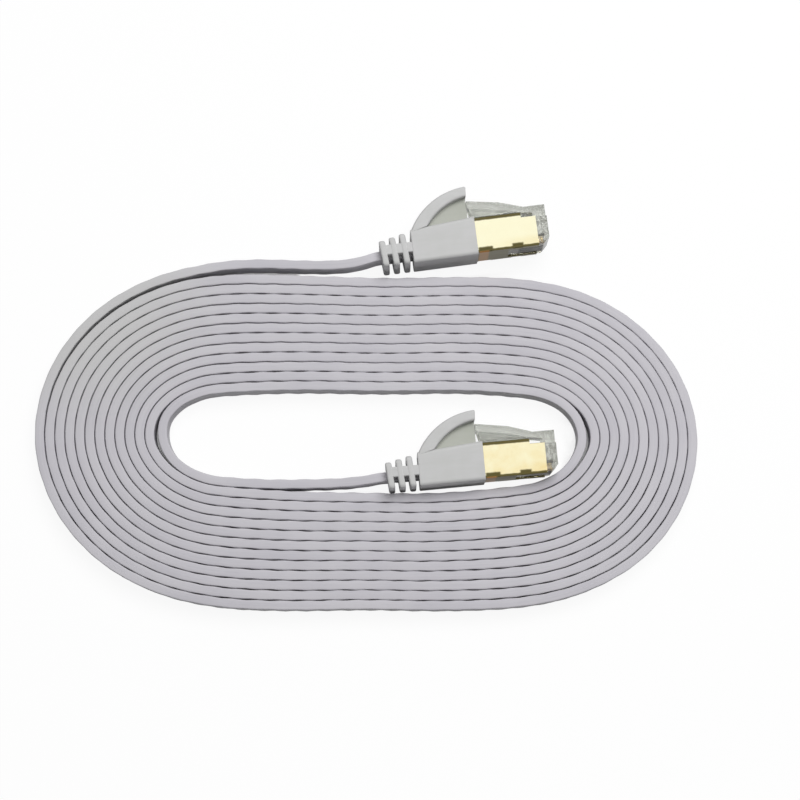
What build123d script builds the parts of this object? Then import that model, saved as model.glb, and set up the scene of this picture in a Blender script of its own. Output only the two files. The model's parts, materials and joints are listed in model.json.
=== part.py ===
from build123d import *
import os
from math import cos, radians, sin, tan

# Flat shielded patch cable, wound on its narrow edge as a flat oval coil, with an
# eight-way modular plug in a snag-proof boot at each end.
# Millimetres, +Z up. The part lies on the plane z = 0, its bounding box centred on the Z axis.
# The outer plug lies beside the coil and the inner plug lies in the coil's hole. Both lie on
# their sides, noses towards +X, latches towards +Y.

# Cable jacket, a flat ribbon that stands on edge
cable_width = 6.8
cable_thickness = 2.25
turn_gap = 0.15
full_turns = 12
arc_share = 0.45

# Conductors
wire_diameter = 0.78
wire_spacing = 0.04

# Plug housing, a clear moulding. Lengths run along the plug from the boot's rear face,
# heights from the cable's axis towards the latch.
plug_width = 11.68
plug_rear = 20.0
plug_length = 21.8
plug_floor = -2.55
plug_roof = 5.63
plug_nose_roof = 4.38
plug_step_back = 6.7
plug_wall = 0.85
nose_chamfer = 1.6
contact_pitch = 1.02

# Latch, part of the clear moulding
latch_width = 6.2
latch_root_length = 3.2
latch_root_top = 7.8
latch_thickness = 1.8
latch_tail_top = 11.0
latch_knee_back = 11.2
latch_knee_top = 9.7
latch_web_gap = 0.2
latch_rib = 0.9
latch_rib_clearance = 0.7
latch_rib_rear = 0.9
latch_rib_inset = 0.3
latch_root_run = 2.0
latch_root_overlap = 0.1

# Shield, one folded sheet of gold-plated brass
shield_thickness = 0.25
shield_clearance = 0.02
shield_front_back = 2.8
shield_rear_inset = 0.2
shield_rail = 1.6
shield_window_length = 7.4
shield_latch_gap = 0.35
crimp_height = 0.45
crimp_rear_length = 3.2
crimp_front_length = 2.4
crimp_boot_gap = 0.3
crimp_window_step = 1.0
crimp_reach = 0.4
crimp_depth = 0.15

# Contacts, load bar and where the jacket ends
contact_thickness = 0.3
contact_length = 6.2
contact_nose_gap = 1.5
contact_recess = 0.28
contact_slot_clearance = 0.03
contact_wire_clearance = 0.02
wire_clearance = 0.05
wire_nose_gap = 1.2
load_bar_length = 3.6
load_bar_height = 3.4
load_bar_clearance = 0.05
bay_nose_wall = 9.4
jacket_end = 23.6
wire_fan_length = 3.2
wire_fan_radius = 2.0

# Boot, one soft moulding with strain-relief fins and a tongue over the latch
boot_width = 13.2
boot_front = 23.9
boot_body_rear = 7.8
boot_rear_bottom = -3.45
boot_front_bottom = -3.35
boot_rear_top = 5.0
boot_front_top = 6.35
boot_corner = 0.7
boot_bore_clearance = 0.1
boot_pocket_clearance = 0.1
fin_thickness = 1.55
fin_gap = 1.05
fin_bottom = -3.45
fin_first_top = 3.0
fin_top_rise = 0.55
fin_corner = 1.0
relief_top = 1.9
relief_slot_floor = -0.6
relief_lean = 4.5
relief_overlap = 0.6
fin_count = 3
tongue_tip = (22.8, 14.1)
tongue_outer_mid = (14.0, 11.3)
tongue_outer_root = (7.8, 4.2)
tongue_tip_under = (22.6, 11.5)
tongue_inner_mid = (16.9, 9.6)
tongue_inner_root = (12.3, 5.4)
web_width = 8.4
web_front = 22.4

# How far the cutting blocks reach past what they cut
cut_margin = 1.0

# Where the plugs lie: rear face of the boot on the cable's axis, and the turn of the nose
outer_plug_place = (3.6, 35.2)
outer_plug_turn = 7.3
inner_plug_place = (5.1, -19.75)
inner_plug_turn = 5.2
tail_inside_boot = 2.2
tail_outside_boot = 1.2

# Stations round the coil's innermost loop, counterclockwise from the top left:
# x, y, the outward direction in degrees, and how loosely the turns lie there
coil_stations = [
    (-37.4, 2.5, 90.0, 1.047),
    (-42.3, 1.2, 112.5, 1.042),
    (-46.8, -1.1, 135.0, 1.046),
    (-50.5, -5.1, 157.5, 1.043),
    (-51.3, -10.6, 180.0, 1.05),
    (-48.2, -15.2, 202.5, 1.06),
    (-44.4, -17.9, 225.0, 1.05),
    (-40.8, -19.5, 247.5, 1.03),
    (-37.2, -20.5, 270.0, 1.04),
    (-18.7, -21.8, 270.0, 1.02),
    (-0.3, -22.2, 270.0, 0.99),
    (18.1, -22.4, 270.0, 1.00),
    (39.5, -20.2, 270.0, 1.05),
    (43.0, -19.0, 292.5, 1.04),
    (46.3, -17.4, 315.0, 1.06),
    (49.3, -14.7, 337.5, 1.06),
    (52.0, -10.6, 0.0, 1.02),
    (50.7, -6.0, 22.5, 1.01),
    (47.2, -3.0, 45.0, 1.01),
    (43.5, -1.3, 67.5, 1.01),
    (39.6, -0.4, 90.0, 1.02),
    (23.1, 0.9, 90.0, 0.99),
    (4.6, 0.4, 90.0, 0.99),
    (-16.4, 0.9, 90.0, 1.00),
]
# The outermost turn stands off its neighbour where it begins: station and distance
first_turn_slack = {0: 0.65, 1: 0.5, 2: 0.4, 3: 0.2}
# The innermost turn stands off its neighbour at the two ends: station and distance
last_turn_slack = {15: 0.2, 16: 0.9, 17: 0.6, 3: 0.3, 4: 1.0, 5: 0.3}
end_station = 8

# Hand-placed points of the two tails: x, y and the share of the way up from the cable's
# height in the coil to its height in the plug. The outer tail is listed from its plug to
# the coil, the inner one from the coil to its plug.
outer_tail_points = [
    (-0.9, 33.9, 0.94),
    (-5.2, 33.2, 0.72),
    (-11.0, 33.1, 0.40),
    (-18.5, 33.5, 0.10),
    (-27.0, 33.85, 0.0),
]
inner_tail_points = [
    (-30.0, -21.0, 0.0),
    (-22.5, -21.35, 0.03),
    (-15.3, -21.3, 0.16),
    (-8.9, -21.25, 0.40),
    (-3.6, -21.0, 0.69),
    (0.6, -20.5, 0.91),
]

wire_names = [
    "white_orange",
    "orange",
    "white_green",
    "blue",
    "white_blue",
    "green",
    "white_brown",
    "brown",
]

# Worked out from the sizes above
turn_pitch = cable_thickness + turn_gap
wire_jacket_pitch = wire_diameter + wire_spacing
coil_axis_height = cable_width / 2
plug_axis_height = boot_width / 2
plug_nose = plug_rear + plug_length
plug_step = plug_nose - plug_step_back
shield_rear = plug_rear - shield_rear_inset
shield_front = plug_nose - shield_front_back
shield_stand_off = shield_clearance + shield_thickness
bay_front = plug_nose - bay_nose_wall
wire_end = plug_nose - wire_nose_gap
wire_offsets = [i - (len(wire_names) - 1) / 2 for i in range(len(wire_names))]


def box(x0, x1, y0, y1, z0, z1):
    """A block between the given lowest and highest values on each axis."""
    return Pos((x0 + x1) / 2, (y0 + y1) / 2, (z0 + z1) / 2) * Box(x1 - x0, y1 - y0, z1 - z0)


def plate(outline, low, high):
    """A flat outline in the plug's length and height, extruded across its width."""
    return Pos(0, 0, low) * extrude(make_face(outline), high - low, dir=(0, 0, 1))


def corner_radii(points):
    """The largest tangent arcs that each corner's two runs allow."""
    radii = []
    for before, corner, after in zip(points, points[1:], points[2:]):
        run_in = corner - before
        run_out = after - corner
        half_turn = radians(run_in.get_angle(run_out)) / 2
        radii.append(arc_share * min(run_in.length, run_out.length) / tan(half_turn))
    return radii


def rounded_path(points, radii):
    """Straight runs joined by tangent arcs, as a list of edges in order."""
    edges = []
    start = points[0]
    for before, corner, after, radius in zip(points, points[1:], points[2:], radii):
        run_in = (corner - before).normalized()
        run_out = (after - corner).normalized()
        half_turn = radians(run_in.get_angle(run_out)) / 2
        reach = radius * tan(half_turn)
        towards_centre = (run_out - run_in).normalized()
        arc_start = corner - run_in * reach
        arc_end = corner + run_out * reach
        arc_middle = corner + towards_centre * (radius / cos(half_turn) - radius)
        edges.append(Edge.make_line(start, arc_start))
        edges.append(Edge.make_three_point_arc(arc_start, arc_middle, arc_end))
        start = arc_end
    edges.append(Edge.make_line(start, points[-1]))
    return edges


def side_of_ribbon(points, radii, offset):
    """The path beside a level route, at a distance to its left, with its own radii."""
    side = []
    side_radii = []
    count = len(points)
    for i, point in enumerate(points):
        run_in = (point - points[max(i - 1, 0)]) if i else points[1] - point
        run_out = (points[i + 1] - point) if i < count - 1 else run_in
        run_in = run_in.normalized()
        run_out = run_out.normalized()
        middle = (run_in + run_out).normalized()
        half_turn = radians(run_in.get_angle(run_out)) / 2
        left = Vector(-middle.Y, middle.X, 0)
        side.append(point + left * (offset / cos(half_turn)))
        if 0 < i < count - 1:
            turns_left = run_in.cross(run_out).Z > 0
            side_radii.append(radii[i - 1] - offset if turns_left else radii[i - 1] + offset)
    return side, side_radii


def level_ribbon(points, thickness, height):
    """A band of the given thickness and height, centred on a level route."""
    radii = corner_radii(points)
    left, left_radii = side_of_ribbon(points, radii, thickness / 2)
    right, right_radii = side_of_ribbon(points, radii, -thickness / 2)
    edges = rounded_path(left, left_radii)
    edges.append(Edge.make_line(left[-1], right[-1]))
    edges += rounded_path(right[::-1], right_radii[::-1])
    edges.append(Edge.make_line(right[0], left[0]))
    return Pos(0, 0, -height / 2) * extrude(Face(Wire(edges)), height, dir=(0, 0, 1))


def coil_points():
    """The coil's turns, from the outermost to the innermost, one point at each station."""
    points = []
    count = len(coil_stations)
    for step in range(full_turns * count + end_station + 1):
        turn, station = divmod(step, count)
        x, y, direction, looseness = coil_stations[station]
        reach = (full_turns - turn) * turn_pitch * looseness
        if turn == 0:
            reach += first_turn_slack.get(station, 0)
        if step > (full_turns - 1) * count + end_station:
            reach -= last_turn_slack.get(station, 0)
        angle = radians(direction)
        points.append(Vector(x + reach * cos(angle), y + reach * sin(angle), coil_axis_height))
    return points


def along_plug(place, turn, distance):
    """A point on the axis of a plug, measured forwards from its boot's rear face."""
    angle = radians(turn)
    return Vector(
        place[0] + distance * cos(angle), place[1] + distance * sin(angle), plug_axis_height
    )


def whole_route():
    """Every point of the cable outside the boots, and where the coil begins and ends in it."""
    rise = plug_axis_height - coil_axis_height
    outer = [
        along_plug(outer_plug_place, outer_plug_turn, tail_inside_boot),
        along_plug(outer_plug_place, outer_plug_turn, -tail_outside_boot),
    ]
    outer += [Vector(x, y, coil_axis_height + rise * share) for x, y, share in outer_tail_points]
    inner = [Vector(x, y, coil_axis_height + rise * share) for x, y, share in inner_tail_points]
    inner += [
        along_plug(inner_plug_place, inner_plug_turn, -tail_outside_boot),
        along_plug(inner_plug_place, inner_plug_turn, tail_inside_boot),
    ]
    coil = coil_points()
    return outer + coil + inner, len(outer), len(outer) + len(coil) - 1


def rising_tail(points):
    """A length of the flat cable standing on edge along a route that also rises.

    The route's plan gives an upright band of the cable's thickness, and its elevation a
    level band of the cable's width, longer at both ends. The tail is what they share.
    """
    spare = cable_width
    plan = [Vector(p.X, p.Y, 0) for p in points]
    upright = Pos(0, 0, plug_axis_height) * level_ribbon(plan, cable_thickness, 3 * boot_width)
    elevation = [Vector(p.X, p.Z, 0) for p in points]
    ends = [(elevation[0] - elevation[1]).normalized(), (elevation[-1] - elevation[-2]).normalized()]
    elevation[0] += ends[0] * spare
    elevation[-1] += ends[1] * spare
    reach = 2 * max(abs(p.Y) for p in points) + cable_width
    level = Rot(90, 0, 0) * level_ribbon(elevation, cable_width, reach)
    return upright & level


def cable_pieces():
    """The coil and the two tails, meeting face to face at the middle of a run."""
    points, first, last = whole_route()
    coil_start = (points[first - 1] + points[first]) / 2
    coil_end = (points[last] + points[last + 1]) / 2
    routes = {
        "cable_coil": [coil_start] + points[first:last + 1] + [coil_end],
        "outer_cable_tail": points[:first] + [coil_start],
        "inner_cable_tail": [coil_end] + points[last + 1:],
    }
    level = [Vector(p.X, p.Y, coil_axis_height) for p in routes["cable_coil"]]
    pieces = {
        "cable_coil": level_ribbon(level, cable_thickness, cable_width),
        "outer_cable_tail": rising_tail(routes["outer_cable_tail"]),
        "inner_cable_tail": rising_tail(routes["inner_cable_tail"]),
    }
    total = 0
    for name, route in routes.items():
        radii = corner_radii(route)
        length = sum(edge.length for edge in rounded_path(route, radii))
        total += length
        print(name, "length", round(length, 1), "volume", round(pieces[name].volume, 1),
              "section times length", round(length * cable_width * cable_thickness, 1))
        if name == "cable_coil":
            print("tightest radius", round(min(radii), 1), "at station",
                  radii.index(min(radii)) % len(coil_stations))
        else:
            print("radii", [round(r, 1) for r in radii])
    print("cable length between the boots", round(total, 1))
    return pieces


def make_boot():
    """The boot: body, finned strain relief and the tongue that arches over the latch."""
    middle = plug_axis_height
    body = plate(
        Polyline(
            (boot_body_rear, boot_rear_bottom), (boot_front, boot_front_bottom),
            (boot_front, boot_front_top), (boot_body_rear, boot_rear_top), close=True,
        ),
        0, boot_width,
    )
    body = fillet(body.edges().filter_by(lambda e: abs(e.tangent_at(0.5).X) > 0.9), boot_corner)
    tongue_line = (
        ThreePointArc(tongue_outer_root, tongue_outer_mid, tongue_tip)
        + Line(tongue_tip, tongue_tip_under)
        + ThreePointArc(tongue_tip_under, tongue_inner_mid, tongue_inner_root)
        + Line(tongue_inner_root, tongue_outer_root)
    )
    tongue = plate(tongue_line, 0, boot_width)
    tongue = fillet(tongue.edges().filter_by(GeomType.CIRCLE), boot_corner)
    web_line = (
        ThreePointArc(tongue_tip_under, tongue_inner_mid, tongue_inner_root)
        + Line(tongue_inner_root, (tongue_tip_under[0], tongue_inner_root[1]))
        + Line((tongue_tip_under[0], tongue_inner_root[1]), tongue_tip_under)
    )
    web = plate(web_line, middle - web_width / 2, middle + web_width / 2)
    web -= box(
        web_front, boot_front + cut_margin, tongue_inner_root[1], tongue_tip[1], 0, boot_width
    )
    relief_front = boot_body_rear + relief_overlap
    relief = plate(
        Polyline(
            (0, fin_bottom), (relief_front, fin_bottom),
            (relief_front, fin_first_top + fin_count * fin_top_rise), (0, fin_first_top), close=True,
        ),
        0, boot_width,
    )
    relief = fillet(
        relief.edges().filter_by(lambda e: abs(e.tangent_at(0.5).X) > 0.9), fin_corner
    )
    fin_pitch = fin_thickness + fin_gap
    tall = boot_width
    for i in range(fin_count):
        slot_centre = fin_thickness + fin_gap / 2 + i * fin_pitch
        slot = Box(fin_gap, tall, boot_width + cut_margin)
        for height in (relief_top + tall / 2, relief_slot_floor - tall / 2):
            relief -= Pos(slot_centre, 0, middle) * Rot(0, 0, relief_lean) * Pos(0, height, 0) * slot
    boot = body + tongue + web + relief
    bore_width = cable_width + 2 * boot_bore_clearance
    bore_thickness = cable_thickness + 2 * boot_bore_clearance
    boot -= box(
        -cut_margin, boot_front, -bore_thickness / 2, bore_thickness / 2,
        middle - bore_width / 2, middle + bore_width / 2,
    )
    room = shield_stand_off + boot_pocket_clearance
    boot -= box(
        shield_rear - boot_pocket_clearance, boot_front + cut_margin,
        plug_floor - room, plug_roof + room,
        middle - plug_width / 2 - room, middle + plug_width / 2 + room,
    )
    return boot


def make_housing():
    """The clear housing with its wire bay, contact slots and latch, one moulding."""
    middle = plug_axis_height
    low = middle - plug_width / 2
    high = middle + plug_width / 2
    block = plate(
        Polyline(
            (plug_rear, plug_floor), (plug_nose - nose_chamfer, plug_floor),
            (plug_nose, plug_floor + nose_chamfer), (plug_nose, plug_nose_roof),
            (plug_step, plug_nose_roof), (plug_step, plug_roof), (plug_rear, plug_roof),
            close=True,
        ),
        low, high,
    )
    block -= box(
        plug_rear - cut_margin, bay_front, plug_floor + plug_wall, plug_roof - plug_wall,
        low + plug_wall, high - plug_wall,
    )
    root_rear = plug_nose - latch_root_length
    root_floor = plug_nose_roof - latch_root_overlap
    knee = plug_nose - latch_knee_back
    tail = web_front + latch_web_gap
    latch_low = middle - latch_width / 2
    latch_high = middle + latch_width / 2
    lever = plate(
        Polyline(
            (plug_nose, root_floor), (plug_nose, latch_root_top),
            (root_rear - latch_root_run, latch_root_top), (knee, latch_knee_top),
            (tail, latch_tail_top), (tail, latch_tail_top - latch_thickness),
            (knee, latch_knee_top - latch_thickness),
            (root_rear, latch_root_top - latch_thickness), (root_rear, root_floor),
            close=True,
        ),
        latch_low, latch_high,
    )
    rib_floor = plug_roof + shield_stand_off + latch_rib_clearance
    for rib_low in (latch_low, latch_high - latch_rib):
        lever += plate(
            Polyline(
                (tail + latch_rib_inset, latch_tail_top - latch_thickness),
                (tail + latch_rib_rear, rib_floor),
                (plug_step, rib_floor), (root_rear, latch_root_top - latch_thickness),
                (root_rear, latch_root_top - latch_thickness / 2),
                (knee, latch_knee_top - latch_thickness / 2), close=True,
            ),
            rib_low, rib_low + latch_rib,
        )
    housing = block + lever
    channel = wire_diameter / 2 + wire_clearance
    slot_half = contact_thickness / 2 + contact_slot_clearance
    contact_front = plug_nose - contact_nose_gap
    for offset in wire_offsets:
        z = middle + offset * contact_pitch
        run = wire_end + wire_clearance - bay_front
        housing -= Pos(bay_front + run / 2, 0, z) * Rot(0, 90, 0) * Cylinder(channel, run)
        housing -= box(
            contact_front - contact_length - contact_slot_clearance,
            contact_front + contact_slot_clearance,
            plug_floor - cut_margin, 0, z - slot_half, z + slot_half,
        )
    return housing


def make_shield():
    """The folded shield round the housing, open at both ends, cut for contacts and latch."""
    middle = plug_axis_height
    half = plug_width / 2 + shield_clearance
    floor = plug_floor - shield_clearance
    roof = plug_roof + shield_clearance
    nose_roof = plug_nose_roof + shield_clearance
    step = plug_step + shield_clearance

    def sleeve(grow):
        outline = Polyline(
            (shield_rear, floor - grow), (shield_front, floor - grow),
            (shield_front, nose_roof + grow), (step + grow, nose_roof + grow),
            (step + grow, roof + grow), (shield_rear, roof + grow), close=True,
        )
        return plate(outline, middle - half - grow, middle + half + grow)

    outer = fillet(
        sleeve(shield_thickness).edges().filter_by(Axis.X), shield_thickness + shield_clearance
    )
    shield = outer - sleeve(0)
    shield -= box(
        shield_front - shield_window_length, shield_front + cut_margin,
        floor - cut_margin, floor + shield_clearance / 2,
        middle - half + shield_rail, middle + half - shield_rail,
    )
    latch_half = latch_width / 2 + shield_latch_gap
    shield -= box(
        step - latch_root_length, shield_front + cut_margin,
        nose_roof - shield_clearance / 2, roof + cut_margin,
        middle - latch_half, middle + latch_half,
    )
    skin_floor = floor - shield_thickness
    skin_half = half + shield_thickness
    for start, length in (
        (boot_front + crimp_boot_gap, crimp_rear_length),
        (shield_front - shield_window_length + crimp_window_step, crimp_front_length),
    ):
        for hand in (-1, 1):
            side_wall = sorted((middle + hand * (skin_half - crimp_depth), middle + hand * boot_width))
            shield -= box(
                start, start + length, skin_floor - cut_margin, floor + crimp_height, *side_wall
            )
            rail = sorted((middle + hand * (half - crimp_reach), middle + hand * boot_width))
            shield -= box(
                start, start + length, skin_floor - cut_margin, skin_floor + crimp_depth, *rail
            )
    return shield


def make_load_bar():
    """The bar that holds the eight conductors in line, at the front of the wire bay."""
    middle = plug_axis_height
    half = plug_width / 2 - plug_wall - load_bar_clearance
    front = bay_front - load_bar_clearance
    floor = plug_floor + plug_wall + load_bar_clearance
    bar = box(
        front - load_bar_length, front, floor, floor + load_bar_height,
        middle - half, middle + half,
    )
    for offset in wire_offsets:
        hole = Rot(0, 90, 0) * Cylinder(wire_diameter / 2 + wire_clearance, 2 * load_bar_length)
        bar -= Pos(front - load_bar_length / 2, 0, middle + offset * contact_pitch) * hole
    return bar


def make_jacket_end():
    """The stretch of cable that the boot holds, up to where its jacket is stripped."""
    half = cable_width / 2
    return box(
        tail_inside_boot, jacket_end, -cable_thickness / 2, cable_thickness / 2,
        plug_axis_height - half, plug_axis_height + half,
    )


def make_wire(offset):
    """One conductor, fanned from the jacket's pitch to the contacts' pitch."""
    z_jacket = plug_axis_height + offset * wire_jacket_pitch
    z_contact = plug_axis_height + offset * contact_pitch
    points = [
        Vector(jacket_end, 0, z_jacket),
        Vector(jacket_end + wire_fan_length / 4, 0, z_jacket),
        Vector(jacket_end + wire_fan_length, 0, z_contact),
        Vector(wire_end, 0, z_contact),
    ]
    path = Wire(rounded_path(points, [wire_fan_radius, wire_fan_radius]))
    section = Plane(origin=points[0], z_dir=(1, 0, 0)) * Circle(wire_diameter / 2)
    return sweep(section, path=path)


def make_contact(offset):
    """One contact blade in its slot, its edge on the conductor above it."""
    z = plug_axis_height + offset * contact_pitch
    front = plug_nose - contact_nose_gap
    return box(
        front - contact_length, front,
        plug_floor + contact_recess, -wire_diameter / 2 - contact_wire_clearance,
        z - contact_thickness / 2, z + contact_thickness / 2,
    )


def make_plug():
    """Every piece of one plug, lying on its side with its boot's rear face at x = 0."""
    pieces = {
        "boot": make_boot(),
        "shield": make_shield(),
        "housing": make_housing(),
        "load_bar": make_load_bar(),
        "cable_end": make_jacket_end(),
    }
    for i, (name, offset) in enumerate(zip(wire_names, wire_offsets)):
        pieces["wire_" + name] = make_wire(offset)
        pieces["contact_" + str(i + 1)] = make_contact(offset)
    return pieces


parts = cable_pieces()
plug = make_plug()
for side, place, turn in (
    ("outer", outer_plug_place, outer_plug_turn),
    ("inner", inner_plug_place, inner_plug_turn),
):
    for name, piece in plug.items():
        parts[side + "_" + name] = Pos(place[0], place[1], 0) * Rot(0, 0, turn) * piece

whole = Compound(children=[Pos(0, 0, 0) * piece for piece in parts.values()])
bounds = whole.bounding_box()
centre = bounds.center()
print("shift to centre", round(-centre.X, 3), round(-centre.Y, 3), "size", bounds.size)
os.makedirs("parts", exist_ok=True)
for name, piece in parts.items():
    export_step(Pos(-centre.X, -centre.Y, 0) * piece, "parts/" + name + ".step")
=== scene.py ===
"""A flat patch cable wound as an oval coil, with a shielded plug in a finned boot at each end.

The cable stands on its narrow edge. It leaves the outer plug, runs down to the table, goes
twelve and a half times round the coil from the outside inwards, and rises into the inner
plug in the coil's hole. Lengths are written in millimetres and become metres in the meshes.
"""

import json
import logging
import math
from dataclasses import dataclass, field
from enum import Enum
from typing import Any

import bpy
import numpy as np
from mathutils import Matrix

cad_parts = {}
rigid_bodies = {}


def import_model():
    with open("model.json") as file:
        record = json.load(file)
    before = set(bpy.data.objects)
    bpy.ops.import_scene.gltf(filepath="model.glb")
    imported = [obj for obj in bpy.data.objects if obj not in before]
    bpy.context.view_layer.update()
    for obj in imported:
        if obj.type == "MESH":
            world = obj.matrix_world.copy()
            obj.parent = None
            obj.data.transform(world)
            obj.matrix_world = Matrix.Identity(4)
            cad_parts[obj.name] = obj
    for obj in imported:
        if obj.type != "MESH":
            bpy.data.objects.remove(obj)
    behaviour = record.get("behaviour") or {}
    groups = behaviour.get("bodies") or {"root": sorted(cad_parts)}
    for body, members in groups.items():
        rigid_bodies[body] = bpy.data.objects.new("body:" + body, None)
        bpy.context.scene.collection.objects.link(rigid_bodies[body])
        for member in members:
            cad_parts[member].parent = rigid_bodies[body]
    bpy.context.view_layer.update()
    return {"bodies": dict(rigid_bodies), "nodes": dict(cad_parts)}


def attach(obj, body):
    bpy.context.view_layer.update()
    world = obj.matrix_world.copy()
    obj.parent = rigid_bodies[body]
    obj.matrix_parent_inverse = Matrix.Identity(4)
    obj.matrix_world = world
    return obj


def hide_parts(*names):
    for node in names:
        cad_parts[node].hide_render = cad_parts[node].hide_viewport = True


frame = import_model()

MM = 0.001
# How far the part is moved so that its box is centred on the Z axis
CENTRE_SHIFT = (0.082, 0.058)
LOG = logging.getLogger("patch_cable")
RGBA = tuple[float, float, float, float]
Point = tuple[float, float, float]
# Where something starts and ends
Span = tuple[float, float]
# A noise's blobs to each unit, the same every way or one for each way, and its finer layers
Grain = tuple[float | Point, float]
# Edges that bend more than this, in degrees, are shaded as sharp
SHARP_FROM = 50.0


def tint(red: int, green: int, blue: int) -> RGBA:
    """A colour as it looks on a screen, turned into the linear colour that a shader takes.

    Args:
        red: share of red from 0 to 255.
        green: share of green from 0 to 255.
        blue: share of blue from 0 to 255.

    Returns:
        The linear colour, opaque.
    """
    shares = [value / 255 for value in (red, green, blue)]
    linear = [s / 12.92 if s <= 0.04045 else ((s + 0.055) / 1.055) ** 2.4 for s in shares]
    return (linear[0], linear[1], linear[2], 1.0)


@dataclass(frozen=True)
class Value:
    """A number socket that shader sums are written with."""

    board: "Board"
    socket: Any

    def __add__(self, other: Any) -> "Value":
        """This plus the other."""
        return self.board.sum_of("ADD", self, other)

    def __radd__(self, other: Any) -> "Value":
        """The other plus this."""
        return self.board.sum_of("ADD", other, self)

    def __sub__(self, other: Any) -> "Value":
        """This less the other."""
        return self.board.sum_of("SUBTRACT", self, other)

    def __rsub__(self, other: Any) -> "Value":
        """The other less this."""
        return self.board.sum_of("SUBTRACT", other, self)

    def __mul__(self, other: Any) -> "Value":
        """This times the other."""
        return self.board.sum_of("MULTIPLY", self, other)

    def __rmul__(self, other: Any) -> "Value":
        """The other times this."""
        return self.board.sum_of("MULTIPLY", other, self)


class Board:
    """The node tree of one material or of the world, and the ways of adding to it."""

    def __init__(self, tree: bpy.types.NodeTree) -> None:
        """Starts with an empty tree.

        Args:
            tree: the node tree to fill.
        """
        self.tree = tree
        tree.nodes.clear()

    def node(
        self,
        kind: str,
        settings: dict[str, Any] | None = None,
        sockets: dict[Any, Any] | None = None,
    ) -> Any:
        """Adds a node.

        Args:
            kind: the node's type.
            settings: what is set on the node itself first.
            sockets: values, Values or sockets for its inputs, by name or number.

        Returns:
            The node.
        """
        made = self.tree.nodes.new(kind)
        for name, value in (settings or {}).items():
            setattr(made, name, value)
        for key, value in (sockets or {}).items():
            if isinstance(value, Value):
                value = value.socket
            if isinstance(value, bpy.types.NodeSocket):
                self.tree.links.new(value, made.inputs[key])
            else:
                made.inputs[key].default_value = value
        return made

    def sum_of(self, operation: str, first: Any, second: Any) -> Value:
        """A Math node that works on two numbers or Values."""
        made = self.node("ShaderNodeMath", {"operation": operation}, {0: first, 1: second})
        return Value(self, made.outputs[0])

    def larger(self, first: Any, second: Any) -> Value:
        """The larger of two numbers."""
        return self.sum_of("MAXIMUM", first, second)

    def step(self, value: Value, low: float, high: float) -> Value:
        """A smooth step from 0 at the low place to 1 at the high one, in either order."""
        made = self.node(
            "ShaderNodeMapRange",
            {"interpolation_type": "SMOOTHSTEP"},
            {"Value": value, "From Min": low, "From Max": high, "To Min": 0.0, "To Max": 1.0},
        )
        return Value(self, made.outputs[0])

    def band(self, value: Value, low: float, high: float, soft: float) -> Value:
        """1 where the value lies between two places and 0 outside, with soft edges."""
        rise = self.step(value, low - soft, low + soft)
        return rise * self.step(value, high + soft, high - soft)

    def noise(self, place: Any, grain: Grain) -> Value:
        """Noise from 0 to 1.

        Args:
            place: the vector that it is read at.
            grain: how fine the noise is.

        Returns:
            The noise.
        """
        scale, detail = grain
        if isinstance(scale, tuple):
            stretch = {"operation": "MULTIPLY"}
            place = self.node("ShaderNodeVectorMath", stretch, {0: place, 1: scale}).outputs[0]
            scale = 1.0
        sockets = {"Vector": place, "Scale": scale, "Detail": detail}
        return Value(self, self.node("ShaderNodeTexNoise", None, sockets).outputs["Fac"])

    @staticmethod
    def about(noise: Value, spread: float) -> Value:
        """A noise moved to lie evenly round 0 and spread this far."""
        return (noise - 0.5) * spread

    def parts_of(self, place: Any) -> tuple[Value, Value, Value]:
        """The three numbers of a vector."""
        made = self.node("ShaderNodeSeparateXYZ", None, {0: place})
        x, y, z = (Value(self, made.outputs[index]) for index in range(3))
        return x, y, z

    def blend(self, share: Any, first: Any, second: Any) -> Any:
        """Two colours or sockets mixed, with this share of the second."""
        made = self.node(
            "ShaderNodeMix", {"data_type": "RGBA"}, {"Factor": share, "A": first, "B": second}
        )
        return next(out for out in made.outputs if out.type == "RGBA")

    def bump(self, height: Value, distance: float) -> Any:
        """A normal for raised detail, where a height of 1 is this many millimetres."""
        sockets = {"Height": height, "Distance": distance * MM, "Strength": 1.0}
        return self.node("ShaderNodeBump", None, sockets).outputs[0]

    def finish_with(self, shader: Any) -> None:
        """Sends a shader to the material's output."""
        self.node("ShaderNodeOutputMaterial", None, {"Surface": shader})

    def finish_principled(self, sockets: dict[str, Any]) -> None:
        """Ends a material with one Principled shader that has these sockets."""
        self.finish_with(self.node("ShaderNodeBsdfPrincipled", None, sockets).outputs[0])


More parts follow.
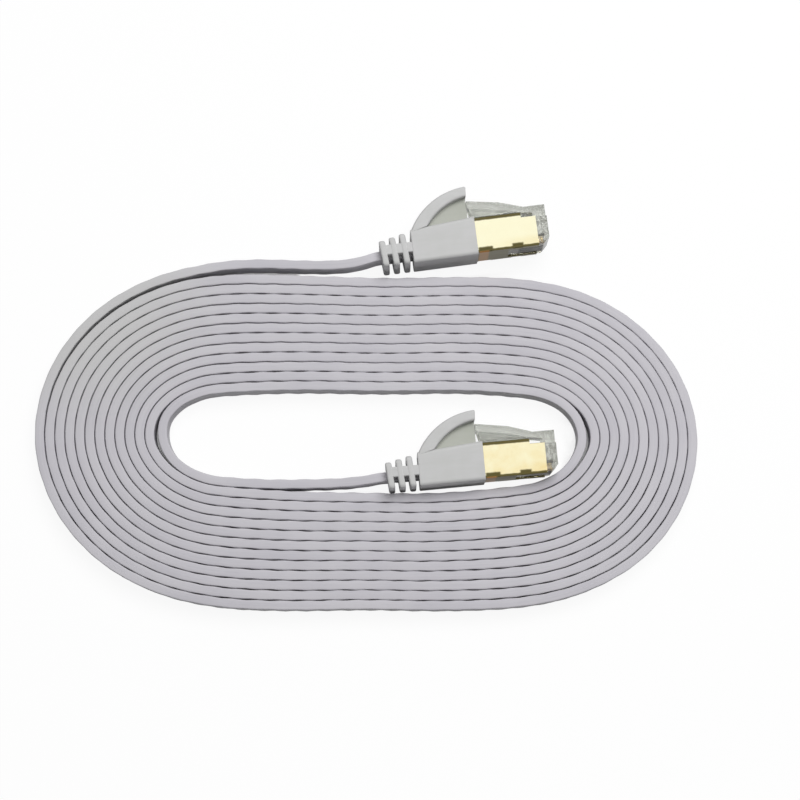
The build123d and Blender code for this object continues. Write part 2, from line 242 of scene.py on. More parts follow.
@dataclass(frozen=True)
class PlugPlace:
    """Where a plug lies, with its own coordinates.

    In a plug's coordinates the first runs along the plug from the boot's rear face, the
    second rises from the cable's axis towards the latch, and the third is the height above
    the table.
    """

    x: float
    y: float
    turn: float
    shift: tuple[float, float] = CENTRE_SHIFT

    def to_part(self, points: np.ndarray) -> np.ndarray:
        """Points in the plug's coordinates, as points of the part.

        Args:
            points: rows of three numbers in millimetres.

        Returns:
            The same points in metres.
        """
        angle = math.radians(self.turn)
        along = points[..., 0]
        rise = points[..., 1]
        x = self.x + self.shift[0] + along * math.cos(angle) - rise * math.sin(angle)
        y = self.y + self.shift[1] + along * math.sin(angle) + rise * math.cos(angle)
        return np.stack([x, y, points[..., 2]], axis=-1) * MM

    def coordinates(self, board: Board) -> Any:
        """The plug's coordinates of the shaded point, in millimetres.

        Args:
            board: the material's board.

        Returns:
            The vector's socket.
        """
        angle = math.radians(-self.turn)
        x = self.x + self.shift[0]
        y = self.y + self.shift[1]
        place = board.node("ShaderNodeTexCoord").outputs["Object"]
        mapping = board.node(
            "ShaderNodeMapping",
            {"vector_type": "POINT"},
            {
                "Vector": place,
                "Location": (
                    -(x * math.cos(angle) - y * math.sin(angle)),
                    -(x * math.sin(angle) + y * math.cos(angle)),
                    0.0,
                ),
                "Rotation": (0.0, 0.0, angle),
                "Scale": (1 / MM, 1 / MM, 1 / MM),
            },
        )
        return mapping.outputs[0]


class End(Enum):
    """The two ends of the cable."""

    OUTER = "outer"
    INNER = "inner"


PLACES = {
    End.OUTER: PlugPlace(3.6, 35.2, 7.3),
    End.INNER: PlugPlace(5.1, -19.75, 5.2),
}


def new_object(name: str, data: Any) -> bpy.types.Object:
    """An object made of the data and put in the scene."""
    made = bpy.data.objects.new(name, data)
    bpy.context.scene.collection.objects.link(made)
    return made


def new_board(name: str) -> tuple[bpy.types.Material, Board]:
    """An empty material with its board."""
    material = bpy.data.materials.new(name)
    material.use_nodes = True
    return material, Board(material.node_tree)


@dataclass(frozen=True)
class JacketFinish:
    """The cable's extruded jacket: pale grey, satin, drawn along its length.

    The patches, the grain and the drawn lines are noises on the straightened cable.
    """

    colour: RGBA = tint(197, 195, 200)
    shade: RGBA = tint(184, 182, 189)
    shade_share: float = 0.7
    tone: Span = (0.35, 0.7)
    patches: Grain = (0.05, 2.0)
    patch_share: float = 0.6
    grain: Grain = (4.0, 4.0)
    grain_share: float = 0.35
    lines: Grain = ((0.05, 3.2, 3.2), 2.0)
    line_height: float = 0.012
    roughness: float = 0.46
    grain_roughness: float = 0.16
    patch_roughness: float = 0.12
    specular: float = 0.42
    # A greyer, less lilac patch on the outer turns at the coil's top left: its middle in metres,
    # and how it fades from it
    greyer_patch: RGBA = tint(193, 193, 192)
    greyer_patch_share: float = 0.8
    greyer_patch_place: Point = (-0.072, 0.028, 0.0)
    greyer_patch_fade: Span = (0.042, 0.016)
    lay_attribute: str = "straightened"

    def make(self) -> bpy.types.Material:
        """The material, which reads the cable's own straightened coordinates.

        Returns:
            The material.
        """
        material, board = new_board("cable_jacket")
        lay = board.node("ShaderNodeAttribute", {"attribute_name": self.lay_attribute})
        place = lay.outputs["Vector"]
        patches = board.noise(place, self.patches)
        grain = board.noise(place, self.grain)
        lines = board.noise(place, self.lines)
        tone = patches * self.patch_share + lines * (1 - self.patch_share)
        tone = board.step(tone, *self.tone)
        colour = board.blend(tone * self.shade_share, self.colour, self.shade)
        where = board.node("ShaderNodeTexCoord").outputs["Object"]
        away = board.node(
            "ShaderNodeVectorMath",
            {"operation": "DISTANCE"},
            {0: where, 1: self.greyer_patch_place},
        )
        greyer_patch = board.step(Value(board, away.outputs["Value"]), *self.greyer_patch_fade)
        colour = board.blend(greyer_patch * self.greyer_patch_share, colour, self.greyer_patch)
        height = grain * self.grain_share + lines * (1 - self.grain_share)
        board.finish_principled({
            "Base Color": colour,
            "Roughness": self.roughness
            + board.about(grain, self.grain_roughness)
            + board.about(patches, self.patch_roughness),
            "Normal": board.bump(height, self.line_height),
            "Specular IOR Level": self.specular,
        })
        return material


@dataclass(frozen=True)
class PlugFinish:
    """A finish of some of a plug's pieces, which reads the plug's coordinates."""

    name: str

    def sockets(self, board: Board, place: Any, end: End) -> dict[str, Any]:
        """The inputs of the finish's Principled shader.

        Args:
            board: the material's board.
            place: the plug's coordinates of the shaded point.
            end: whose piece it is.

        Returns:
            What each input is, by its name.
        """
        raise NotImplementedError

    def make(self, end: End) -> bpy.types.Material:
        """The material for one plug.

        Args:
            end: whose piece it is.

        Returns:
            The material.
        """
        material, board = new_board(end.value + "_" + self.name)
        board.finish_principled(self.sockets(board, PLACES[end].coordinates(board), end))
        return material


@dataclass(frozen=True)
class BootFinish(PlugFinish):
    """The boots' soft moulding: grey, satin, with a fine spark-eroded grain."""

    colour: RGBA = tint(197, 197, 197)
    shade: RGBA = tint(186, 187, 184)
    shade_share: float = 0.4
    tone: Span = (0.35, 0.68)
    grain: Grain = (9.0, 2.0)
    grain_share: float = 0.8
    grain_height: float = 0.012
    cloud: Grain = (0.25, 3.0)
    cloud_share: float = 0.5
    flow: Grain = ((0.12, 0.9, 0.5), 3.0)
    roughness: float = 0.5
    grain_roughness: float = 0.15
    cloud_roughness: float = 0.1
    specular: float = 0.4

    def sockets(self, board: Board, place: Any, end: End) -> dict[str, Any]:
        """The shader's inputs, as PlugFinish says."""
        grain = board.noise(place, self.grain)
        cloud = board.noise(place, self.cloud)
        flow = board.noise(place, self.flow)
        tone = cloud * self.cloud_share + flow * (1 - self.cloud_share)
        tone = board.step(tone, *self.tone)
        height = grain * self.grain_share + flow * (1 - self.grain_share)
        return {
            "Base Color": board.blend(tone * self.shade_share, self.colour, self.shade),
            "Roughness": self.roughness
            + board.about(grain, self.grain_roughness)
            + board.about(cloud, self.cloud_roughness),
            "Normal": board.bump(height, self.grain_height),
            "Specular IOR Level": self.specular,
        }


@dataclass(frozen=True)
class GoldPlateFinish(PlugFinish):
    """The shields' plated sheet: pale gold, drawn, with a painted dark reflection on its folds,
    painted shade in its dents and a copper patch.

    The places are in the plug's coordinates. A span that runs down fades in that way.
    """

    colour: RGBA = tint(255, 252, 220)
    roughness: float = 0.2
    drawn: Grain = ((0.15, 2.5, 2.5), 3.0)
    drawn_share: float = 0.5
    drawn_height: float = 0.004
    drawn_roughness: float = 0.08
    speck: Grain = (1.3, 4.0)
    wander: float = 0.3
    # Deeper gold: painted shade where the plate is in shade, and clouds, laid on thickly on the
    # inner plug as its painted darker reflections
    deep: RGBA = tint(240, 216, 150)
    cloud: Grain = (0.3, 2.0)
    cloud_share: tuple[tuple[End, float], ...] = ((End.OUTER, 0.15), (End.INNER, 0.75))
    shaded_rise: Span = (0.6, -1.6)
    shaded_along: Span = (24.0, 38.0)
    shaded_share: float = 0.3
    # Painted dark reflection on the bent edges, which curve away from the light, and painted shade
    # in the crimp dents
    painted_fold_shade: RGBA = tint(84, 76, 34)
    flat_rise: Span = (-2.27, 5.1)
    fold_soft: float = 0.12
    painted_fold_shade_share: float = 0.95
    fold_roughness: float = 0.12
    dents: tuple[Span, ...] = ((24.0, 27.6), (32.4, 35.2))
    dent_soft: float = 0.25
    dent_rise: Span = (-1.4, -1.8)
    # The patch beside the boot, on the contacts' side
    copper: RGBA = tint(196, 138, 74)
    copper_rise: Span = (-2.52, -2.67)
    copper_along: Span = (24.2, 26.6)
    copper_soft: float = 0.3
    copper_share: float = 0.6

    def sockets(self, board: Board, place: Any, end: End) -> dict[str, Any]:
        """The shader's inputs, as PlugFinish says."""
        along, rise, _ = board.parts_of(place)
        drawn = board.noise(place, self.drawn)
        cloud = board.noise(place, self.cloud)
        speck = board.noise(place, self.speck)
        wander = board.about(speck, self.wander)
        flat = board.band(rise + wander, *self.flat_rise, self.fold_soft)
        for dent in self.dents:
            dented = board.band(along + wander, *dent, self.dent_soft)
            flat = flat * (1.0 - dented * board.step(rise + wander, *self.dent_rise))
        shaded = board.step(rise, *self.shaded_rise) * board.step(along, *self.shaded_along)
        # Painted shade, and on the inner plug painted darker reflections in the clouds
        deep = cloud * dict(self.cloud_share)[end] + shaded * self.shaded_share
        colour = board.blend(deep, self.colour, self.deep)
        # Painted dark reflection on the bent edges and painted shade in the dents
        colour = board.blend((1.0 - flat) * self.painted_fold_shade_share, colour, self.painted_fold_shade)
        patch = board.band(along + wander, *self.copper_along, self.copper_soft)
        patch = patch * board.step(rise, *self.copper_rise)
        height = drawn * self.drawn_share + speck * (1 - self.drawn_share)
        return {
            "Base Color": board.blend(patch * self.copper_share, colour, self.copper),
            "Metallic": 1.0,
            "Roughness": self.roughness
            + board.about(drawn, self.drawn_roughness)
            + (1.0 - flat) * self.fold_roughness,
            "Normal": board.bump(height, self.drawn_height),
        }


@dataclass(frozen=True)
class ClearFinish(PlugFinish):
    """The clear mouldings: the housings with their latches, and the load bars.

    The places are in the plug's coordinates. A span that runs down fades in that way.
    """

    colour: RGBA
    roughness: float
    transmission: float
    refraction: float = 1.5
    flow: Grain = ((0.25, 0.8, 0.8), 3.0)
    flow_height: float = 0.03
    haze: Grain = (1.4, 4.0)
    cloudy: RGBA = tint(170, 173, 162)
    cloudy_share: float = 0.4
    rough_haze: Span = (0.45, 0.75)
    haze_roughness: float = 0.14
    # Painted shadow of the contacts, as dark stripes that show in the nose
    contact_shadow: RGBA = tint(126, 126, 117)
    contact_shadow_share: float = 0.9
    contact_shadow_along: Span = (36.0, 37.5)
    contact_shadow_height: Span = (8.0, 11.0)
    shadow_stripes: Grain = ((1.6, 0.9, 0.5), 2.0)
    shadow_stripe_span: Span = (0.42, 0.54)
    # Painted shade in the contacts' dark bay, on the side with the contacts' slots
    slots: RGBA = tint(100, 87, 57)
    slot_shade_share: float = 0.8
    slot_shade_along: Span = (31.6, 32.0)
    slot_shade_rise: Span = (-1.5, -2.2)

    def sockets(self, board: Board, place: Any, end: End) -> dict[str, Any]:
        """The shader's inputs, as PlugFinish says."""
        flow = board.noise(place, self.flow)
        haze = board.noise(place, self.haze)
        along, rise, height = board.parts_of(place)
        # Painted shadow of the contacts in the nose
        contact_shadow = board.step(board.noise(place, self.shadow_stripes), *self.shadow_stripe_span)
        contact_shadow = contact_shadow * board.step(along, *self.contact_shadow_along)
        contact_shadow = contact_shadow * board.step(height, *self.contact_shadow_height)
        # Painted shade over the contacts' bay
        slots = board.step(along, *self.slot_shade_along) * board.step(rise, *self.slot_shade_rise)
        colour = board.blend(haze * self.cloudy_share, self.colour, self.cloudy)
        colour = board.blend(contact_shadow * self.contact_shadow_share, colour, self.contact_shadow)
        rough = board.step(haze, *self.rough_haze)
        return {
            "Base Color": board.blend(slots * self.slot_shade_share, colour, self.slots),
            "Roughness": self.roughness + rough * self.haze_roughness,
            "Transmission Weight": self.transmission,
            "IOR": self.refraction,
            "Normal": board.bump(flow, self.flow_height),
        }


@dataclass(frozen=True)
class BladeFinish(PlugFinish):
    """The contacts' gold plate, worn towards the mating edge."""

    colour: RGBA = tint(246, 205, 120)
    worn: RGBA = tint(196, 158, 92)
    worn_rise: Span = (-1.0, -1.75)
    scratches: Grain = ((0.6, 5.0, 2.0), 4.0)
    scratch_height: float = 0.004
    scratch_roughness: float = 0.2
    roughness: float = 0.2

    def sockets(self, board: Board, place: Any, end: End) -> dict[str, Any]:
        """The shader's inputs, as PlugFinish says."""
        _, rise, _ = board.parts_of(place)
        scratch = board.noise(place, self.scratches)
        worn = scratch * board.step(rise, *self.worn_rise)
        return {
            "Base Color": board.blend(worn, self.colour, self.worn),
            "Metallic": 1.0,
            "Roughness": self.roughness + scratch * self.scratch_roughness,
            "Normal": board.bump(scratch, self.scratch_height),
        }


@dataclass(frozen=True)
class ConductorFinish(PlugFinish):
    """An insulated conductor: plain, or white with rings of its partner's colour."""

    colour: RGBA
    ring: RGBA | None = None
    ring_pitch: float = 2.4
    ring_slope: float = 0.6
    ring_span: Span = (0.3, 0.62)
    ring_soft: float = 0.03
    grain: Grain = (6.0, 2.0)
    grain_height: float = 0.004
    grain_roughness: float = 0.15
    pale: RGBA = tint(250, 250, 246)
    pale_share: float = 0.12
    roughness: float = 0.3

    def sockets(self, board: Board, place: Any, end: End) -> dict[str, Any]:
        """The shader's inputs, as PlugFinish says."""
        along, rise, _ = board.parts_of(place)
        grain = board.noise(place, self.grain)
        colour: Any = board.blend(grain * self.pale_share, self.colour, self.pale)
        if self.ring is not None:
            turns = (along + rise * self.ring_slope) * (1 / self.ring_pitch)
            saw = board.sum_of("FRACT", turns, 0.0)
            ringed = board.band(saw, *self.ring_span, self.ring_soft)
            colour = board.blend(ringed, colour, self.ring)
        return {
            "Base Color": colour,
            "Roughness": self.roughness + grain * self.grain_roughness,
            "Normal": board.bump(grain, self.grain_height),
        }


# Each conductor's colour and its rings' colour, in the order of the contacts
CONDUCTORS: dict[str, tuple[RGBA, RGBA | None]] = {
    "white_orange": (tint(240, 236, 228), tint(232, 120, 34)),
    "orange": (tint(228, 108, 24), None),
    "white_green": (tint(236, 240, 232), tint(30, 140, 62)),
    "blue": (tint(32, 74, 172), None),
    "white_blue": (tint(234, 238, 244), tint(40, 84, 180)),
    "green": (tint(24, 128, 54), None),
    "white_brown": (tint(238, 234, 228), tint(116, 72, 40)),
    "brown": (tint(104, 64, 36), None),
}
BOOT = BootFinish("boot_moulding")
# The web's darker greenish grey is painted shade of its recess and a painted reflection of the
# gold
BOOT_WEB_PAINTED_SHADE = BootFinish("boot_web_painted_shade", tint(175, 177, 169), tint(166, 169, 158))
SOLIDS: dict[str, PlugFinish] = {
    "shield": GoldPlateFinish("gold_plate"),
    "housing": ClearFinish("clear_housing", tint(186, 188, 181), roughness=0.1, transmission=0.8),
    "load_bar": ClearFinish("load_bar", tint(214, 218, 210), roughness=0.2, transmission=0.7),
}


class Shell:
    """Closed surfaces gathered for one mesh, as points and faces."""

    def __init__(self) -> None:
        """Starts with nothing in it."""
        self.points: list[np.ndarray] = []
        self.faces: list[list[int]] = []
        self.slots: list[int] = []
        self.count = 0

    def add_rings(self, rings: np.ndarray, slot: int = 0) -> None:
        """Adds a tube of rings with a fan over each end.

        The point in ring i at place j is joined to the next place of its ring and to the same
        place of the next ring, and the last place of a ring to its first. Each end ring is
        joined to the middle of its points. The faces are turned round when the volume that
        they enclose comes out below zero, so that they point outwards.

        Args:
            rings: points as an array of rings, places and three coordinates.
            slot: which of the mesh's finishes the faces have.
        """
        ring_count, places, _ = rings.shape
        flat = rings.reshape(-1, 3)
        ends = np.stack([rings[0].mean(axis=0), rings[-1].mean(axis=0)])
        points = np.concatenate([flat, ends])
        i, j = np.meshgrid(np.arange(ring_count - 1), np.arange(places), indexing="ij")
        this, after = i * places + j, i * places + (j + 1) % places
        quads = np.stack([this, after, after + places, this + places], axis=-1).reshape(-1, 4)
        j = np.arange(places)
        first = np.stack([(j + 1) % places, j, np.full(places, len(flat))], axis=-1)
        last_ring = (ring_count - 1) * places
        last = np.stack([last_ring + j, last_ring + (j + 1) % places, first[:, 2] + 1], axis=-1)
        halves = np.concatenate([quads[:, [0, 1, 2]], quads[:, [0, 2, 3]], first, last])
        a, b, c = (points[halves[:, k]] for k in range(3))
        if np.einsum("ij,ij->i", a, np.cross(b, c)).sum() < 0:
            quads, first, last = quads[:, ::-1], first[:, ::-1], last[:, ::-1]
        for group in (quads, first, last):
            self.faces += (group + self.count).tolist()
            self.slots += [slot] * len(group)
        self.points.append(points)
        self.count += len(points)

    def make(self, name: str, *materials: bpy.types.Material) -> bpy.types.Object:
        """Makes the mesh object.

        Args:
            name: the piece's name.
            materials: its finishes, in the order of their slots.

        Returns:
            The object, at the origin, riding on the part's one body.
        """
        mesh = bpy.data.meshes.new(name)
        mesh.from_pydata(np.concatenate(self.points).tolist(), [], self.faces)
        mesh.update()
        mesh.polygons.foreach_set("use_smooth", np.ones(len(mesh.polygons), bool))
        mesh.set_sharp_from_angle(angle=math.radians(SHARP_FROM))
        for material in materials:
            mesh.materials.append(material)
        mesh.polygons.foreach_set("material_index", self.slots)
        piece = new_object(name, mesh)
        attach(piece, next(iter(frame["bodies"])))
        return piece


def rounded_outline(corner_places: int, side_places: int) -> tuple[np.ndarray, np.ndarray]:
    """The outline of a rounded rectangle, in parts that any size can be made from.

    Going round, each corner is a quarter of a circle and each side is straight. A point is
    the corner's centre plus the corner's radius along a direction. On a side the centre runs
    from one corner's to the next, and the direction stays square to the side.

    Args:
        corner_places: points on each corner.
        side_places: points between the corners on each of the two long sides, which run
            along the second axis.

    Returns:
        The centres as shares of the half sizes less the radius, and the directions, both with
        one row for each point.
    """
    quarter = np.linspace(0, math.pi / 2, corner_places)
    signs = np.array([(1, 1), (-1, 1), (-1, -1), (1, -1)], float)
    centres = []
    directions = []
    for index, sign in enumerate(signs):
        angles = quarter + index * math.pi / 2
        directions.append(np.stack([np.cos(angles), np.sin(angles)], axis=-1))
        centres.append(np.repeat(sign[None], corner_places, axis=0))
        if index % 2 and side_places:
            after = signs[(index + 1) % 4]
            share = np.linspace(0, 1, side_places + 2)[1:-1, None]
            centres.append(sign + (after - sign) * share)
            directions.append(np.repeat([[float(sign[0]), 0.0]], side_places, axis=0))
    return np.concatenate(centres), np.concatenate(directions)


@dataclass
class FlatCable:
    """The cable: a flat jacket over four twisted pairs, standing on its narrow edge."""

    width: float = 6.8
    thickness: float = 2.25
    turn_gap: float = 0.15
    full_turns: int = 12
    end_station: int = 8
    coil_height: float = 3.4
    plug_height: float = 6.6
    inside_boot: float = 2.2
    outside_boot: float = 1.2
    corner_radius: float = 0.32
    corner_places: int = 5
    side_places: int = 5
    ring_spacing: float = 1.3
    route_resolution: int = 24
    shift: tuple[float, float] = CENTRE_SHIFT
    # The middle of each twisted pair across the width, and the length of its repeat
    pairs: tuple[tuple[float, float], ...] = ((-2.6, 5.3), (-0.85, 6.6), (0.85, 5.7), (2.6, 6.1))
    pair_spread: float = 0.95
    pair_bulge: float = 0.12
    # How far each pair's twist is ahead of the pair's before it, in radians
    pair_phase: float = 1.7
    # The bulges fade where the cable bends more tightly than this
    straight_radius: float = 45.0
    # Round the innermost loop: x, y, the outward direction in degrees, and the looseness
    stations: tuple[tuple[float, float, float, float], ...] = (
        (-37.4, 2.5, 90.0, 1.047),
        (-42.3, 1.2, 112.5, 1.042),
        (-46.8, -1.1, 135.0, 1.046),
        (-50.5, -5.1, 157.5, 1.043),
        (-51.3, -10.6, 180.0, 1.05),
        (-48.2, -15.2, 202.5, 1.06),
        (-44.4, -17.9, 225.0, 1.05),
        (-40.8, -19.5, 247.5, 1.03),
        (-37.2, -20.5, 270.0, 1.04),
        (-18.7, -21.8, 270.0, 1.02),
        (-0.3, -22.2, 270.0, 0.99),
        (18.1, -22.4, 270.0, 1.00),
        (39.5, -20.2, 270.0, 1.05),
        (43.0, -19.0, 292.5, 1.04),
        (46.3, -17.4, 315.0, 1.06),
        (49.3, -14.7, 337.5, 1.06),
        (52.0, -10.6, 0.0, 1.02),
        (50.7, -6.0, 22.5, 1.01),
        (47.2, -3.0, 45.0, 1.01),
        (43.5, -1.3, 67.5, 1.01),
        (39.6, -0.4, 90.0, 1.02),
        (23.1, 0.9, 90.0, 0.99),
        (4.6, 0.4, 90.0, 0.99),
        (-16.4, 0.9, 90.0, 1.00),
    )
    # The outermost turn stands off its neighbour there by this much
    first_turn_slack: dict[int, float] = field(
        default_factory=lambda: {0: 0.65, 1: 0.5, 2: 0.4, 3: 0.2}
    )
    # The innermost turn stands off its neighbour there by this much
    last_turn_slack: dict[int, float] = field(
        default_factory=lambda: {15: 0.2, 16: 0.9, 17: 0.6, 3: 0.3, 4: 1.0, 5: 0.3}
    )
    # The two tails: x, y and the share of the way up from the coil's height to the plug's
    outer_tail: tuple[Point, ...] = (
        (-0.9, 33.9, 0.94),
        (-5.2, 33.2, 0.72),
        (-11.0, 33.1, 0.40),
        (-18.5, 33.5, 0.10),
        (-27.0, 33.85, 0.0),
    )
    inner_tail: tuple[Point, ...] = (
        (-30.0, -21.0, 0.0),
        (-22.5, -21.35, 0.03),
        (-15.3, -21.3, 0.16),
        (-8.9, -21.25, 0.40),
        (-3.6, -21.0, 0.69),
        (0.6, -20.5, 0.91),
    )

    def coil_points(self) -> list[Point]:
        """The coil's turns from the outermost to the innermost, one point at each station."""
        pitch = self.thickness + self.turn_gap
        count = len(self.stations)
        points = []
        for step in range(self.full_turns * count + self.end_station + 1):
            turn, station = divmod(step, count)
            x, y, direction, looseness = self.stations[station]
            reach = (self.full_turns - turn) * pitch * looseness
            if turn == 0:
                reach += self.first_turn_slack.get(station, 0.0)
            if step > (self.full_turns - 1) * count + self.end_station:
                reach -= self.last_turn_slack.get(station, 0.0)
            angle = math.radians(direction)
            points.append(
                (x + reach * math.cos(angle), y + reach * math.sin(angle), self.coil_height)
            )
        return points

    def route_points(self) -> np.ndarray:
        """Every point of the route, from inside the outer boot to inside the inner one.

        Returns:
            The points in metres.
        """
        rise = self.plug_height - self.coil_height
        outer_tail, inner_tail = (
            [(x, y, self.coil_height + rise * share) for x, y, share in tail]
            for tail in (self.outer_tail, self.inner_tail)
        )
        loose = np.array(outer_tail + self.coil_points() + inner_tail)
        depths = (self.inside_boot, -self.outside_boot)
        held = np.array([(depth, 0.0, self.plug_height) for depth in depths])
        outer, inner = (PLACES[end].to_part(held) for end in End)
        return np.concatenate([outer, (loose + (*self.shift, 0.0)) * MM, inner[::-1]])

    def centreline(self) -> np.ndarray:
        """The smooth line that the cable follows, at an even spacing.

        The route is one open NURBS spline through the space between the points. Its line is
        read back as a mesh, and then divided evenly by its length.

        Returns:
            Points in metres, as rows.
        """
        points = self.route_points()
        curve = bpy.data.curves.new("cable_route", "CURVE")
        curve.dimensions = "3D"
        spline = curve.splines.new("NURBS")
        spline.points.add(len(points) - 1)
        weighted = np.concatenate([points, np.ones((len(points), 1))], axis=1)
        spline.points.foreach_set("co", weighted.ravel())
        spline.order_u = 3
        spline.use_endpoint_u = True
        spline.resolution_u = self.route_resolution
        carrier = new_object("cable_route", curve)
        bpy.context.view_layer.update()
        line = bpy.data.meshes.new_from_object(carrier)
        fine = np.zeros(len(line.vertices) * 3)
        line.vertices.foreach_get("co", fine)
        fine = fine.reshape(-1, 3)
        bpy.data.objects.remove(carrier)
        bpy.data.curves.remove(curve)
        bpy.data.meshes.remove(line)
        steps = np.linalg.norm(np.diff(fine, axis=0), axis=1)
        along = np.concatenate([[0.0], np.cumsum(steps)])
        places = np.linspace(0, along[-1], int(along[-1] / (self.ring_spacing * MM)) + 1)
        return np.stack([np.interp(places, along, fine[:, k]) for k in range(3)], axis=-1)

    def ribbon(self, line: np.ndarray) -> tuple[np.ndarray, np.ndarray]:
        """The jacket's surface.

        The outline is a rounded rectangle, carried along the line with its long side as
        upright as the line's slope allows. Each twisted pair lifts the two flat sides: the
        lift is a bell across the width, centred on the pair, times a sine along the length
        with the pair's own repeat, and it fades where the cable bends tightly.

        Args:
            line: the centreline's points in metres.

        Returns:
            The rings of points in metres, and for each point its place on the straightened
            cable in millimetres: along it, across its thickness and across its width.
        """
        ahead = np.gradient(line, axis=0)
        ahead /= np.linalg.norm(ahead, axis=1, keepdims=True)
        upright = np.array([0.0, 0.0, 1.0]) - ahead * ahead[:, 2:3]
        upright /= np.linalg.norm(upright, axis=1, keepdims=True)
        sideways = np.cross(ahead, upright)
        steps = np.linalg.norm(np.diff(line, axis=0), axis=1) / MM
        along = np.concatenate([[0.0], np.cumsum(steps)])
        bend = np.linalg.norm(np.gradient(ahead, axis=0), axis=1) / np.gradient(along)
        straight = 1 / (1 + (bend * self.straight_radius) ** 2)
        centres, directions = rounded_outline(self.corner_places, self.side_places)
        half = np.array([self.thickness / 2, self.width / 2]) - self.corner_radius
        outline = centres * half + directions * self.corner_radius
        across, up = outline[:, 0], outline[:, 1]
        lift = np.zeros((len(line), len(outline)))
        for index, (middle, repeat) in enumerate(self.pairs):
            bell = np.exp(-(((up - middle) / self.pair_spread) ** 2))
            wave = np.sin(2 * math.pi * along / repeat + self.pair_phase * index)
            lift += self.pair_bulge * bell[None] * wave[:, None] * straight[:, None]
        wide = across[None] + lift * np.sign(across)[None] * np.abs(directions[:, 0])[None]
        tall = np.repeat(up[None], len(line), axis=0)
        rings = (
            line[:, None]
            + sideways[:, None] * wide[..., None] * MM
            + upright[:, None] * tall[..., None] * MM
        )
        lengthways = np.repeat(along[:, None], len(outline), axis=1)
        return rings, np.stack([lengthways, wide, tall], axis=-1)

    def build(self, finish: JacketFinish) -> bpy.types.Object:
        """Args:
            finish: the jacket's finish.

        Returns:
            The cable's object.
        """
        line = self.centreline()
        rings, straightened = self.ribbon(line)
        shell = Shell()
        shell.add_rings(rings)
        piece = shell.make("flat_cable", finish.make())
        ends = straightened[[0, -1]].mean(axis=1)
        places = np.concatenate([straightened.reshape(-1, 3), ends])
        attribute = piece.data.attributes.new(finish.lay_attribute, "FLOAT_VECTOR", "POINT")
        attribute.data.foreach_set("vector", places.ravel())
        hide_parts("cable_coil", "outer_cable_tail", "inner_cable_tail")
        start = PLACES[End.OUTER].to_part(np.array([0.0, 0.0, self.plug_height]))
        return piece


